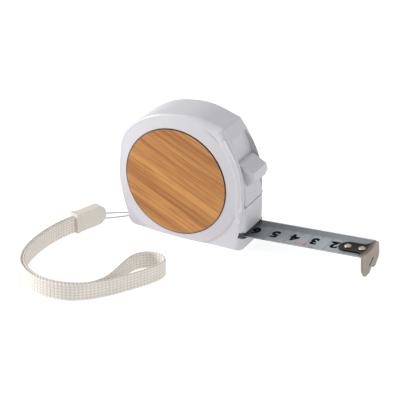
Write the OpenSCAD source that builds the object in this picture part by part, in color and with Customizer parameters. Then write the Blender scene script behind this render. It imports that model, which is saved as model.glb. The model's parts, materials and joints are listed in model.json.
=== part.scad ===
// Pocket tape measure: two-part case, cupped steel blade with an end hook,
// spring-driven spool, thumb lock, belt clip and a wrist strap.
// +X is the way the blade leaves the case, +Y points to the belt-clip side,
// +Z is up. The origin is on the flat base, below the spool.

/* [Case] */
// Thickness over the raised side rings
case_t = 24.4; // [24:0.1:26]
// Height of the raised ring around the wooden disc
ring_h = 0.6; // [0.4:0.1:0.8]
// Wall thickness around the outline
wall = 2; // [1.8:0.1:2.2]
// Radius of the rounding along the side edges
edge_r = 2.8; // [2:0.1:3]
// Radius of the raised ring
ring_r = 32.2; // [31:0.1:33]

/* [Wooden disc] */
// Radius of the wooden disc
disc_r = 26.4; // [25:0.1:26.5]
// Thickness of the wooden disc
disc_t = 0.85; // [0.6:0.05:0.9]
// Gap around the disc
disc_gap = 0.35; // [0.2:0.05:0.5]

/* [Blade] */
// Width across the blade
blade_w = 19; // [19:0.1:19.2]
// Thickness of the blade
blade_t = 0.3; // [0.2:0.05:0.4]
// Radius of the blade's hollow across its width
cup_r = 28; // [26:0.5:30]
// Slope of the pulled-out blade, in degrees
blade_pitch = 4.5; // [4:0.1:5]
// Length from the mouth to the hook's inner face
blade_out = 60; // [57:0.5:60]

/* [Hook] */
// Thickness of the hook's plate
hook_t = 1; // [0.8:0.1:1.2]
// Width of the tongue that lies on the blade
tang_w = 8.6; // [7:0.1:10]
// Length of the tongue along the blade
tang_len = 14.6; // [14:0.1:15]

/* [Spool] */
// Radius of the spool's drum
drum_r = 12.5; // [11:0.1:13]
// Outer radius of the wound blade
coil_r = 20; // [18:0.1:20.4]
// Radius of the fixed axle
axle_r = 3; // [2.5:0.1:3.5]
// Turns in the return spring
spring_turns = 5; // [4:1:5]

/* [Lock] */
// Width of the thumb lock
lock_w = 17.6; // [17:0.1:17.8]
// Travel of the thumb lock, down is locked
lock_travel = 5; // [4:0.5:5]

/* [Belt clip] */
// Width of the belt clip
clip_w = 18; // [14:0.5:20]
// Gap for the belt behind the clip
clip_gap = 3; // [2.5:0.1:3.5]

/* [Strap] */
// Height of the webbing, which stands on its edge
strap_w = 8.6; // [8:0.1:9]
// Thickness of one leg of the webbing
strap_t = 1.2; // [1:0.1:1.3]
// Diameter of the string between strap and case
string_d = 0.8; // [0.6:0.1:1]

/* [Hidden] */
$fn = 64;

half_t = case_t / 2;
side_y = half_t - ring_h;         // the cover's flat side, without the ring
inner_y = 10.1;                   // half width of the hollow inside
spool = [0, 31];                  // spool axis, in x and z
disc_c = [0, 29.2];               // centre of the wooden disc and its ring
mouth = [34.3, 0, 6.6];           // the blade's path crosses the front wall here

// Corners of the case's outline, in x and z, each with its radius
CORNERS = [[34.6, 0, 1.4], [36.3, 13, 38], [33.8, 43, 38], [23.2, 59.8, 1.2],
           [8, 64, 36], [-16.3, 60.8, 38], [-30.5, 47.3, 16],
           [-31.6, 24.5, 38], [-26.2, 0, 5.5]];

// Front recess of the thumb lock: a plane through lock_foot, leaning back
lock_foot = [34.4, 22.4];
lock_lean = 15;
recess_len = 33.2;
recess_w = 18.6;
recess_top = 14.4;                // width of the recess at its upper end
recess_bend = 27;                 // height at which it starts to narrow

// Screw pillars, in x and z
PILLARS = [[-23.6, 12.4], [-21.5, 49.5], [21, 49.5], [31.2, 16.2]];
pillar_r = 2.5;
screw_r = 1.1;

// Strap pin in the notch at the rear of the base, in x and z
pin_c = [-25.8, 1.4];
pin_r = 0.5;
notch_x = -23.4;                  // inner end of the notch

// Belt clip: level of its top bend, and of its screw
clip_top = 52;
clip_screw_z = 40;
clip_t = 0.9;

// Webbing route on the table, in x and y: the run that both legs share,
// then the outer and the inner side of the end loop
STRAP_RUN = [[-42.8, -29], [-45, -34], [-47, -42], [-48, -52], [-47.6, -62],
             [-45.4, -72], [-40.5, -80.5], [-33, -86], [-25, -88.6],
             [-17, -88.4], [-10, -86]];
LOOP_OUTER = [[-3.6, -81.6], [1.4, -75.6], [5.4, -69.4], [9.2, -62.8],
              [12.3, -56.8], [14.2, -51.2], [14, -46.8], [11.2, -44.2]];
LOOP_INNER = [[-4.6, -81.4], [-1.2, -75], [-0.5, -68], [-0.8, -61], [-1, -54.6],
              [0, -49.2], [3.2, -45.2], [7.2, -43.6], [11.2, -44.2]];
strap_gap = 0.16;

// String route: out of the clamp, over the pin, round it and back
STRING_ROUTE = [[-40.2, -17.6, 4.8], [-37.4, -14, 4], [-34, -9.6, 3.2],
                [-30.4, -5, 2.3], [-27.8, -2.4, 2.2], [-25.8, -1.7, 2.3],
                [-24.9, -1.6, 1.4], [-25.8, -1.5, 0.5], [-27.8, -2.4, 0.5],
                [-31, -6.2, 0.6], [-36, -13.2, 1.4], [-39.8, -18, 2.3]];

// ---------- plane geometry ----------

function unit(v) = v / norm(v);
function xy(p) = [p[0], p[1]];

// Outline whose corners are rounded, each by its own radius
function arc_at(a, b, c, r, n) =
    let (u = unit(xy(a) - xy(b)), v = unit(xy(c) - xy(b)),
         half = acos(min(1, max(-1, u * v))) / 2,
         centre = xy(b) + unit(u + v) * r / sin(half),
         p = xy(b) + u * r / tan(half), q = xy(b) + v * r / tan(half),
         a0 = atan2(p[1] - centre[1], p[0] - centre[0]),
         a1 = atan2(q[1] - centre[1], q[0] - centre[0]),
         turn = (a1 - a0 + 540) % 360 - 180)
    [for (k = [0 : n]) centre + r * [cos(a0 + turn * k / n), sin(a0 + turn * k / n)]];

function rounded(corners, n = 7) =
    let (m = len(corners))
    [for (i = [0 : m - 1])
        each arc_at(corners[(i + m - 1) % m], corners[i], corners[(i + 1) % m],
                    corners[i][2], n)];

// The same corners, moved inwards by d
function inset(corners, d) =
    let (m = len(corners))
    [for (i = [0 : m - 1])
        let (e = unit(xy(corners[i]) - xy(corners[(i + m - 1) % m])),
             f = unit(xy(corners[(i + 1) % m]) - xy(corners[i])),
             ne = [-e[1], e[0]], nf = [-f[1], f[0]],
             p = xy(corners[i]) + d * (ne + nf) / (1 + ne * nf))
        [p[0], p[1], max(0.3, corners[i][2] - d)]];

// Smooth curve through points, n steps between neighbours
function smooth_at(a, b, c, d, t) =
    0.5 * (2 * b + (c - a) * t + (2 * a - 5 * b + 4 * c - d) * t * t
           + (3 * b - a - 3 * c + d) * t * t * t);
function smooth(p, n) =
    let (m = len(p) - 1)
    concat([for (i = [0 : m - 1], k = [0 : n - 1])
        smooth_at(p[max(0, i - 1)], p[i], p[i + 1], p[min(m, i + 2)], k / n)], [p[m]]);

// A flat route moved sideways by d, to the right of its direction
function beside(p, d) =
    let (m = len(p) - 1)
    [for (i = [0 : m])
        let (t = unit(p[min(m, i + 1)] - p[max(0, i - 1)]))
        p[i] + d * [t[1], -t[0]]];

// Closed outline of a flat route of width w
function ribbon_outline(p, w) =
    let (m = len(p) - 1, left = beside(p, -w / 2), right = beside(p, w / 2))
    concat(left, [for (i = [m : -1 : 0]) right[i]]);

// Slab between two y values, from a shape drawn in x and z
module slab(y0, y1) {
    translate([0, y1, 0]) rotate([90, 0, 0]) linear_extrude(y1 - y0) children();
}

// Cylinder along y, between two y values
module rod(c, r, y0, y1) {
    translate([c[0], y1, c[1]]) rotate([90, 0, 0]) cylinder(r = r, h = y1 - y0);
}

// Things drawn along the blade: local +X runs from the mouth to the hook
module on_blade() {
    translate(mouth) rotate([0, -blade_pitch, 0]) children();
}

// Things drawn on the lock's plane: local +X is outwards, local +Z is up the slope
module on_lock() {
    translate([lock_foot[0], 0, lock_foot[1]]) rotate([0, -lock_lean, 0]) children();
}

// ---------- case ----------

module outline(d = 0) {
    polygon(rounded(inset(CORNERS, d)));
}

// The outline moved inwards by i, but hardly at the base
module low_inset(i) {
    intersection() {
        outline();
        union() {
            outline(i);
            translate([0, -0.85 * i]) outline(i);
        }
    }
}

// Solid half of the case on the -Y side, with its side edges rounded, most at the front
module half_body() {
    hull() {
        slab(-side_y + edge_r, 0) outline();
        for (a = [22 : 22.6 : 90]) {
            i = edge_r * (1 - cos(a));
            y = -side_y + edge_r * (1 - sin(a));
            slab(y, y + 0.05) intersection() {
                low_inset(i);
                translate([-0.6 * i, 0]) low_inset(i);
            }
        }
    }
}

// Raised ring, cut to the outline
module side_ring() {
    intersection() {
        slab(-half_t, -side_y + 0.3) outline(1.9);
        translate([disc_c[0], -half_t, disc_c[1]]) rotate([-90, 0, 0])
            cylinder(r1 = ring_r - 0.5, r2 = ring_r + 0.3, h = ring_h + 0.3);
    }
}

// Recess that the thumb lock slides in, and the slot for its stem
module lock_recess() {
    on_lock() {
        rotate([90, 0, 90]) linear_extrude(14) polygon([
            [-recess_w / 2, 0], [recess_w / 2, 0], [recess_w / 2, recess_bend],
            [recess_top / 2, recess_len], [-recess_top / 2, recess_len],
            [-recess_w / 2, recess_bend]]);
        translate([-6, -2.2, 4]) cube([8, 4.4, 5.4 + lock_travel + 0.6]);
    }
}

// Curved slot that the blade leaves by; g widens it on every side
module mouth_slot(g, u0, u1) {
    on_blade() translate([u0, 0, 0]) rotate([90, 0, 90]) linear_extrude(u1 - u0)
        mouth_shape(g);
}

module mouth_shape(g) {
    w = blade_w / 2 + 0.15 + g;
    n = 12;
    low = cup_r + 0.9 + g;
    polygon(concat(
        [for (k = [0 : n]) let (y = -w + 2 * w * k / n) [y, cup_r - sqrt(low * low - y * y)]],
        [[w, 2.8 + g], [-w, 2.8 + g]]));
}

// Notch at the rear of the base for the strap's string, open behind and below
module string_notch() {
    translate([-40, -2.7, -1]) cube([40 + notch_x, 5.4, 5.2]);
}

// Walls round the notch, which also hold the pin
module notch_walls() {
    intersection() {
        slab(-4.8, 0) outline(0.4);
        translate([-40, -4.8, 0]) cube([40 + notch_x + 1, 4.8, 5.4]);
    }
}

module cover_walls() {
    difference() {
        union() {
            half_body();
            side_ring();
        }
        slab(-inner_y, 1) outline(wall);
    }
}

// Wall behind the thumb lock's recess
module recess_wall() {
    intersection() {
        slab(-inner_y - 0.5, 0) outline(wall / 2);
        on_lock() translate([-1.8, -recess_w / 2 - 1.4, -1.2])
            cube([14, recess_w / 2 + 1.4, recess_len + 2.4]);
    }
}

// Everything that both covers share, drawn for the -Y side
module cover_half(pillar_hole) {
    difference() {
        union() {
            cover_walls();
            recess_wall();
            for (p = PILLARS) rod(p, pillar_r, -inner_y - 0.4, 0);
            notch_walls();
            rod(spool, 5, -inner_y - 0.4, -inner_y + 0.1);
        }
        lock_recess();
        string_notch();
        mouth_slot(0.4, -6, 8);
        rod(pin_c, pin_r, -4.6, 1);
        for (p = PILLARS) rod(p, pillar_hole, -inner_y + 2, 1);
        rod(spool, axle_r, -inner_y - 0.6, 1);
    }
}

module disc_side_cover() {
    color("whitesmoke") difference() {
        cover_half(screw_r);
        rod(disc_c, disc_r + disc_gap, -half_t - 1, -half_t + disc_t + 0.05);
    }
}

module clip_side_cover() {
    color("whitesmoke") difference() {
        mirror([0, 1, 0]) cover_half(screw_r);
        for (p = PILLARS) {
            rod(p, screw_r, 0, half_t + 1);
            rod(p, 2.2, side_y - 1.6, half_t + 1);
        }
        rod([0, clip_screw_z], 1.2, inner_y - 1, half_t + 1);
        translate([-clip_w / 2 - 0.2, side_y, 26.8])
            cube([clip_w + 0.4, 2, clip_top - 26.8 + 0.2]);
        translate([-clip_w / 2 - 0.3, side_y - 0.3, clip_top - 3.4])
            cube([clip_w + 0.6, 2, 4]);
    }
}

module wooden_disc() {
    color("peru") rod(disc_c, disc_r, -half_t, -half_t + disc_t);
}

module mouth_liner() {
    color("black") difference() {
        intersection() {
            mouth_slot(0.4, -6, 8);
            slab(-half_t, half_t) outline(0.35);
            translate([mouth[0] - 1.2, -half_t, 0]) cube([10, case_t, 20]);
        }
        mouth_slot(0, -8, 9);
        lock_recess();
    }
}

module axle_post() {
    color("silver") difference() {
        rod(spool, axle_r, -inner_y - 0.6, inner_y + 0.6);
        translate([spool[0] - 0.4, -8, spool[1]]) cube([0.8, 16, axle_r + 1]);
    }
}

module spool_washers() {
    color("ivory") for (s = [-1, 1]) scale([1, s, 1]) difference() {
        rod(spool, 4.8, -inner_y + 0.1, -9.5);
        rod(spool, axle_r + 0.05, -inner_y, -9);
    }
}

module case_screws() {
    color("dimgray") for (p = PILLARS) {
        rod(p, screw_r, -6, side_y - 1.6);
        difference() {
            rod(p, 2, side_y - 1.6, side_y - 0.4);
            translate([p[0] - 1.5, side_y - 0.9, p[1] - 0.25]) cube([3, 1, 0.5]);
            translate([p[0] - 0.25, side_y - 0.9, p[1] - 1.5]) cube([0.5, 1, 3]);
        }
    }
}

module strap_pin() {
    color("silver") rod(pin_c, pin_r, -4.6, 4.6);
}

// ---------- blade and hook ----------

// Cross-section of a cupped strip: half width w, from radius r to r - t
module cup_section(w, r, t) {
    n = 12;
    polygon(concat(
        [for (k = [0 : n]) let (y = -w + 2 * w * k / n) [y, cup_r - sqrt(r * r - y * y)]],
        [for (k = [n : -1 : 0]) let (y = -w + 2 * w * k / n)
            [y, cup_r - sqrt((r - t) * (r - t) - y * y)]]));
}

module cup_strip(w, r, t, u0, u1) {
    translate([u0, 0, 0]) rotate([90, 0, 90]) linear_extrude(u1 - u0) cup_section(w, r, t);
}

rivet_u = [blade_out - 10.2, blade_out - 3.3];
rivet_r = 1;

module blade() {
    color("lightsteelblue") on_blade() difference() {
        cup_strip(blade_w / 2, cup_r, blade_t, -0.8, blade_out - 0.2);
        for (u = rivet_u) translate([u, 0, -2]) cylinder(r = rivet_r, h = 5, $fn = 24);
    }
}

module hook_rivets() {
    color("tan") on_blade() for (u = rivet_u) translate([u, 0, 0]) {
        translate([0, 0, -0.6]) cylinder(r = rivet_r, h = 2.1, $fn = 24);
        translate([0, 0, -0.6]) cylinder(r = 1.6, h = 0.55, $fn = 24);
        translate([0, 0, 1.5]) intersection() {
            translate([0, 0, -1.5]) sphere(r = 2.3, $fn = 32);
            cylinder(r = 2, h = 2, $fn = 24);
        }
    }
}

// The hook's plate, drawn across the blade: y to the side, z up, each corner with its radius
PLATE = [[9.8, 1.4, 1.5], [7, 3, 1.2], [4, 1.4, 4], [0, 1.15, 8], [-5, 1.6, 8],
         [-9.6, 2.9, 0.5], [-9.6, -5.4, 3], [-7, -9.1, 1.6], [-1.8, -9.4, 1.4],
         [0.8, -7.4, 0.6], [3.4, -8.9, 0.8], [5.8, -8.9, 1.4], [10.5, -5.6, 3],
         [10.5, -2, 3]];

// The hook's tongue seen from above, flaring to the plate's width
module tang_plan() {
    translate([blade_out - tang_len + tang_w / 2, 0]) circle(r = tang_w / 2);
    polygon([[blade_out - tang_len + tang_w / 2, tang_w / 2], [blade_out - 3.4, tang_w / 2],
             [blade_out - 1.6, 5.6], [blade_out - 0.7, 7.2], [blade_out + 0.5, 7.2],
             [blade_out + 0.5, -9.6], [blade_out - 0.7, -9.6], [blade_out - 1.6, -6],
             [blade_out - 3.4, -tang_w / 2], [blade_out - tang_len + tang_w / 2, -tang_w / 2]]);
}

module end_hook() {
    color("tan") on_blade() {
        difference() {
            intersection() {
                cup_strip(10, cup_r - blade_t - 0.1, 0.8,
                          blade_out - tang_len, blade_out + 0.5);
                linear_extrude(6) tang_plan();
            }
            for (u = rivet_u) translate([u, 0, -1]) {
                translate([-1, -1.1, 0]) cube([1.2, 2.2, 4]);
                translate([-1, 0, 0]) cylinder(r = 1.1, h = 4, $fn = 24);
                translate([0.15, 0, 0]) cylinder(r = 1.1, h = 4, $fn = 24);
            }
        }
        difference() {
            translate([blade_out, 0, 0]) rotate([90, 0, 90]) linear_extrude(hook_t)
                polygon(rounded(PLATE, 5));
            translate([blade_out - 1, -1.7, -6.2]) rotate([22, 0, 0]) cube([3, 5.6, 1]);
        }
    }
}

// Still part of the wound blade between the coil and the mouth
module blade_feed() {
    color("lightsteelblue") slab(-blade_w / 2, blade_w / 2)
        polygon([[3, 10.45], [27, 9.6], [27, 9.9], [3, 10.75]]);
}

// ---------- spool ----------

module spool_drum() {
    color("gainsboro") difference() {
        rod(spool, drum_r, -9.4, 9.4);
        rod(spool, drum_r - 1.2, -10, 8.2);
        rod(spool, axle_r + 0.05, -10, 10);
    }
}

module drum_cover() {
    color("gainsboro") difference() {
        rod(spool, drum_r - 1.2, -9.4, -8.4);
        rod(spool, axle_r + 0.05, -10, 10);
    }
}

module blade_coil() {
    color("lightsteelblue") difference() {
        rod(spool, coil_r, -blade_w / 2 + 0.1, blade_w / 2 - 0.1);
        rod(spool, drum_r, -10, 10);
    }
}

module mainspring() {
    n = 24 * spring_turns;
    r0 = axle_r + 0.5;
    step = (drum_r - 1.6 - r0) / n;
    t = 0.45;
    color("slategray") slab(-8, 7.8) translate(spool) polygon(concat(
        [for (k = [0 : n]) (r0 + step * k) * [cos(15 * k), sin(15 * k)]],
        [for (k = [n : -1 : 0]) (r0 + t + step * k) * [cos(15 * k), sin(15 * k)]]));
}

// ---------- thumb lock ----------

module lock_button() {
    color("whitesmoke") on_lock() {
        hull() {
            translate([0.15, -lock_w / 2, 0.5]) cube([1.2, lock_w, 20.9]);
            translate([0.15, -lock_w / 2 + 0.9, 1.4]) cube([2.3, lock_w - 1.8, 19.6]);
        }
        hull() {
            translate([2, -7.8, 20]) cube([0.4, 15.6, 1]);
            translate([2, -5.4, 9.4]) cube([0.4, 10.8, 1]);
            translate([7, -6.8, 13.6]) cube([1.2, 13.6, 2.8]);
            translate([7, -3.4, 12]) cube([1.2, 6.8, 1.6]);
        }
        translate([-2.2, -1.9, 4.6]) cube([3, 3.8, 5]);
    }
}

// Bar inside the case, from the button's stem down to the blade
module lock_bar() {
    color("dimgray") difference() {
        union() {
            on_lock() translate([-3.8, -5, 0.6]) cube([1.5, 10, 11]);
            slab(-5, 5) polygon([[31.6, 23.4], [30.2, 24.4], [26.4, 20.4], [24.6, 11.9],
                                 [26.6, 11.9], [28.2, 19.6]]);
        }
        on_lock() translate([-2.2, -1.9, 4.6]) cube([3, 3.8, 5]);
    }
}

module lock_pad() {
    color("black") slab(-6, 6) polygon([[24.2, 10.2], [26.8, 10.1], [26.8, 11.9], [24.2, 11.9]]);
}

// ---------- belt clip ----------

clip_y0 = side_y;
clip_y1 = side_y + clip_t;
tongue_y = clip_y1 + clip_gap;
bend_c = [clip_y1 + clip_gap / 2, clip_top - 3];

// Shape drawn in y and z, extruded across the clip
module across(w) {
    translate([-w / 2, 0, 0]) rotate([90, 0, 90]) linear_extrude(w) children();
}

module clip_base() {
    color("silver") difference() {
        translate([-clip_w / 2, clip_y0, 27]) cube([clip_w, clip_t, bend_c[1] - 27.6]);
        rod([0, clip_screw_z], 1.6, clip_y0 - 1, clip_y1 + 1);
    }
}

module clip_screw() {
    color("dimgray") difference() {
        union() {
            rod([0, clip_screw_z], 1.2, inner_y, clip_y1);
            rod([0, clip_screw_z], 2.6, clip_y1, clip_y1 + 1.3);
        }
        translate([-1.9, clip_y1 + 0.7, clip_screw_z - 0.3]) cube([3.8, 1, 0.6]);
        translate([-0.3, clip_y1 + 0.7, clip_screw_z - 1.9]) cube([0.6, 1, 3.8]);
    }
}

module clip_tongue() {
    low = 12;
    bump = clip_gap - 0.7;
    color("silver") difference() {
        union() {
            across(clip_w) difference() {
                translate(bend_c) circle(r = clip_gap / 2 + clip_t);
                translate(bend_c) circle(r = clip_gap / 2);
                translate([clip_y0 - 1, bend_c[1] - 6]) square([20, 6]);
            }
            across(clip_w) polygon([
                [tongue_y, bend_c[1]], [tongue_y, low + 12], [tongue_y - bump, low + 5],
                [tongue_y + 0.6, low - 2], [tongue_y + 1.2, low - 1.4],
                [tongue_y - bump + 1.1, low + 5], [tongue_y + clip_t, low + 11.6],
                [tongue_y + clip_t, bend_c[1]]]);
        }
        rod([0, clip_screw_z], 3.4, tongue_y - 1, tongue_y + 3);
    }
}

// ---------- strap ----------

// Tube with m sides along a route, as one closed surface
module tube(p, r, m) {
    n = len(p) - 1;
    rings = [for (i = [0 : n])
        let (t = unit(p[min(n, i + 1)] - p[max(0, i - 1)]),
             side = unit(cross(t, [0.3, 0.9, 0.25])), up = cross(side, t))
        for (k = [0 : m - 1])
            p[i] + r * (side * cos(360 * k / m) + up * sin(360 * k / m))];
    walls = [for (i = [0 : n - 1], k = [0 : m - 1])
        let (a = i * m + k, b = i * m + (k + 1) % m) [a, a + m, b + m, b]];
    polyhedron(rings, concat(walls, [[for (k = [0 : m - 1]) k]],
                             [[for (k = [m - 1 : -1 : 0]) n * m + k]]));
}

module strap_string() {
    color("ivory") tube(smooth(STRING_ROUTE, 3), string_d / 2, 8);
}

clamp_p = [-38.4, -14.2];
clamp_q = [-44.3, -31.8];
clamp_h = 9.6;
clamp_t = 4.8;

// Plastic clamp that holds both webbing ends and the string, round at the string's end
module strap_clamp() {
    dir = unit(clamp_q - clamp_p);
    turn = atan2(dir[1], dir[0]);
    long = norm(clamp_q - clamp_p);
    color("linen") translate([clamp_p[0], clamp_p[1], 0]) rotate([0, 0, turn]) {
        translate([0, clamp_t / 2, 0]) rotate([90, 0, 0]) linear_extrude(clamp_t) {
            translate([clamp_h / 2, 0]) square([long - clamp_h / 2 - 1, clamp_h]);
            translate([clamp_h / 2, clamp_h / 2]) circle(r = clamp_h / 2);
        }
        translate([long - 2, -clamp_t / 2 - 0.5, 0]) cube([2, clamp_t + 1, clamp_h + 0.4]);
    }
}

function strap_outer_route() =
    smooth(concat(beside(STRAP_RUN, strap_t / 2 + strap_gap / 2), LOOP_OUTER), 4);
function strap_inner_route() =
    smooth(concat(beside(STRAP_RUN, -strap_t / 2 - strap_gap / 2), LOOP_INNER), 4);

module strap_outer() {
    color("antiquewhite") linear_extrude(strap_w)
        polygon(ribbon_outline(strap_outer_route(), strap_t));
}

module strap_inner() {
    color("antiquewhite") linear_extrude(strap_w)
        polygon(ribbon_outline(strap_inner_route(), strap_t));
}

disc_side_cover();
clip_side_cover();
wooden_disc();
mouth_liner();
axle_post();
spool_washers();
case_screws();
strap_pin();
blade_feed();
blade();
hook_rivets();
end_hook();
spool_drum();
drum_cover();
blade_coil();
mainspring();
lock_button();
lock_bar();
lock_pad();
clip_base();
clip_screw();
clip_tongue();
strap_string();
strap_clamp();
strap_outer();
strap_inner();
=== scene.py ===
"""Looks of the tape measure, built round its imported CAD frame.

Lengths in the tables below are in millimetres, and in metres once they reach Blender.
"""
import json
import math

import bmesh
import bpy
from mathutils import Matrix, Vector

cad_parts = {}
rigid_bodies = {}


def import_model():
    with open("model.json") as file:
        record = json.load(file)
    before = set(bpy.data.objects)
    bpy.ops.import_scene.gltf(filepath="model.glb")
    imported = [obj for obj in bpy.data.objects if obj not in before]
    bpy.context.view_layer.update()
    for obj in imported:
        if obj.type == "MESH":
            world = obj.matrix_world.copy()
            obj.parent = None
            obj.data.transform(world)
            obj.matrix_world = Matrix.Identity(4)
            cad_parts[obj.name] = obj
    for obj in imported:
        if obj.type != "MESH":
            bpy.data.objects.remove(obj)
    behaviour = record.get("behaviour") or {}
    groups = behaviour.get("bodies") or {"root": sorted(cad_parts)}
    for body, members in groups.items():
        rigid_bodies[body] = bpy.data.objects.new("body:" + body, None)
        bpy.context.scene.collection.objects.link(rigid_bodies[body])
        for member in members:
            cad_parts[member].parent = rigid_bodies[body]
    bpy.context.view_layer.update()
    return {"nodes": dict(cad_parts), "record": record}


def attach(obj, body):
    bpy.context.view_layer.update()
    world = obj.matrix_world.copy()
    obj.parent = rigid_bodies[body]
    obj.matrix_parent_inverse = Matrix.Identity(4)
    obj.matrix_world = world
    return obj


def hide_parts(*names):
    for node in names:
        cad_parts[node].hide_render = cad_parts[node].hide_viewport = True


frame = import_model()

MM = 0.001
SCENE = bpy.context.scene

# ---------- driving dimensions, the CAD's own ----------

CASE_HALF = 12.2            # half the case's thickness, over the raised ring
WALL = 2.0                  # thickness round the outline
INNER_Y = 10.1              # from the parting plane to the sides' inner faces
EDGE_R = 2.8                # rounding along the sides' edges
RING_R = 32.2               # the raised ring round the disc,
RING_STEP = 0.45            # and the step down from it
DISC_CENTRE = (0.0, 29.2)   # x and z
DISC_R = 26.4
DISC_GAP = 0.35
DISC_SEAT = 0.9             # depth of the disc's recess
DISC_PROUD = 0.3            # the disc stands this far above the ring's inner edge
# The case's outline: x, z and radius of each corner, round from the front of the base.
CORNERS = [(34.6, 0, 1.4), (36.3, 13, 38), (33.8, 43, 38), (23.2, 59.8, 1.2), (8, 64, 36),
           (-16.3, 60.8, 38), (-30.5, 47.3, 16), (-31.6, 24.5, 38), (-26.2, 0, 5.5)]
LOCK_FOOT = (34.4, 22.4)    # x and z of the thumb lock's lower end
LOCK_LEAN = 15.0            # degrees that it leans back
RECESS_LENGTH = 33.2        # the recess that it slides in
RECESS_WIDTH = 18.6
RECESS_TOP = 14.4           # width of the recess at its upper end
RECESS_BEND = 27.0          # height at which it starts to narrow
PILLARS = [(-23.6, 12.4), (-21.5, 49.5), (21, 49.5), (31.2, 16.2)]  # x and z of the screws
NOTCH_X = -23.4             # inner end of the string's notch
CLIP_WIDTH = 18.0
CLIP_TOP = 52.0
MOUTH = (34.3, 0.0, 6.6)    # the blade's middle where it leaves the case
MOUTH_BESIDE = 0.15         # the liner's opening beside the blade,
MOUTH_BELOW = 0.9           # below it,
MOUTH_TOP = 2.8             # its height,
MOUTH_ROOM = 0.4            # and the liner's room in the covers
BLADE_PITCH = 4.5           # degrees that the blade climbs
BLADE_OUT = 60.0            # from the mouth to the hook's inner face
BLADE_WIDTH = 19.0
BLADE_THICK = 0.3
CUP_R = 28.0                # radius of its hollow

# ---------- camera ----------

CAMERA_PLACE = (0.28646, -0.53941, 0.31991)     # metres
CAMERA_AZIMUTH = 27.38
CAMERA_ELEVATION = 26.56
CAMERA_ROLL = 1.17
CAMERA_LENS = 127.72


def add_camera():
    a, e, r = (math.radians(x) for x in (CAMERA_AZIMUTH, CAMERA_ELEVATION, CAMERA_ROLL))
    look = Vector((-math.sin(a) * math.cos(e), math.cos(a) * math.cos(e), -math.sin(e)))
    level = look.cross(Vector((0, 0, 1))).normalized()
    above = level.cross(look)
    right = level * math.cos(r) + above * math.sin(r)
    up = right.cross(look)
    data = bpy.data.cameras.new("camera")
    data.lens = CAMERA_LENS
    data.clip_start, data.clip_end = 0.05, 20
    camera = bpy.data.objects.new("camera", data)
    camera.matrix_world = Matrix.Translation(CAMERA_PLACE) @ Matrix(
        (right, up, -look)).transposed().to_4x4()
    SCENE.collection.objects.link(camera)
    SCENE.camera = camera


add_camera()

# ---------- plain helpers ----------


def mesh_object(name, points, faces, scale=MM):
    mesh = bpy.data.meshes.new(name)
    mesh.from_pydata([Vector(p) * scale for p in points], [], faces)
    mesh.validate()
    mesh.update()
    piece = bpy.data.objects.new(name, mesh)
    SCENE.collection.objects.link(piece)
    return piece


def tidy_normals(piece):
    bm = bmesh.new()
    bm.from_mesh(piece.data)
    bmesh.ops.recalc_face_normals(bm, faces=bm.faces)
    bm.to_mesh(piece.data)
    bm.free()


def give_points(piece, name, values):
    """Stores a value for each point of the mesh, for a material to read."""
    piece.data.attributes.new(name, "FLOAT", "POINT").data.foreach_set("value", values)


def smooth_by_angle(piece, degrees):
    """Smooth shading, with edges that turn by more than this many degrees kept sharp."""
    mesh = piece.data
    mesh.polygons.foreach_set("use_smooth", [True] * len(mesh.polygons))
    bm = bmesh.new()
    bm.from_mesh(mesh)
    limit = math.radians(degrees)
    for edge in bm.edges:
        edge.smooth = len(edge.link_faces) == 2 and edge.calc_face_angle(0) < limit
    bm.to_mesh(mesh)
    bm.free()


def apply_modifiers(piece):
    SCENE.collection.objects.update()
    bpy.context.view_layer.update()
    graph = bpy.context.evaluated_depsgraph_get()
    done = bpy.data.meshes.new_from_object(piece.evaluated_get(graph))
    piece.modifiers.clear()
    piece.data = done


def bevel_edges(piece, width, segments, degrees):
    """Rounds every edge that turns by more than this many degrees."""
    bevel = piece.modifiers.new("bevel", "BEVEL")
    bevel.width = width * MM
    bevel.segments = segments
    bevel.limit_method = "ANGLE"
    bevel.angle_limit = math.radians(degrees)
    bevel.use_clamp_overlap = True
    bevel.miter_outer = "MITER_ARC"
    apply_modifiers(piece)


def weigh_normals(piece):
    weighted = piece.modifiers.new("weighted_normals", "WEIGHTED_NORMAL")
    weighted.keep_sharp = True
    weighted.weight = 60


def boolean(piece, other, operation="DIFFERENCE"):
    cut = piece.modifiers.new("cut", "BOOLEAN")
    cut.object = other
    cut.operation = operation
    cut.solver = "EXACT"
    apply_modifiers(piece)
    bpy.data.objects.remove(other)


def box(name, low, high, matrix=None):
    corners = [(x, y, z) for x in (low[0], high[0]) for y in (low[1], high[1])
               for z in (low[2], high[2])]
    faces = [(0, 1, 3, 2), (4, 6, 7, 5), (0, 4, 5, 1), (2, 3, 7, 6), (0, 2, 6, 4), (1, 5, 7, 3)]
    if matrix is not None:
        corners = [matrix @ Vector(c) for c in corners]
    return mesh_object(name, corners, faces)


def prism(name, ends):
    """Solid between two outlines with the same number of points."""
    n = len(ends[0])
    faces = [tuple(range(n)), tuple(range(2 * n - 1, n - 1, -1))]
    faces += [(i, i + n, (i + 1) % n + n, (i + 1) % n) for i in range(n)]
    piece = mesh_object(name, ends[0] + ends[1], faces)
    tidy_normals(piece)
    return piece


def extruded(name, outline, y0, y1):
    """Prism between two y values, from an outline in x and z."""
    return prism(name, [[(x, y, z) for x, z in outline] for y in (y0, y1)])


def round_bar(name, centre, radius, y0, y1, sides=48):
    turn = 2 * math.pi / sides
    circle = [(centre[0] + radius * math.cos(turn * k), centre[1] + radius * math.sin(turn * k))
              for k in range(sides)]
    return extruded(name, circle, y0, y1)


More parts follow.
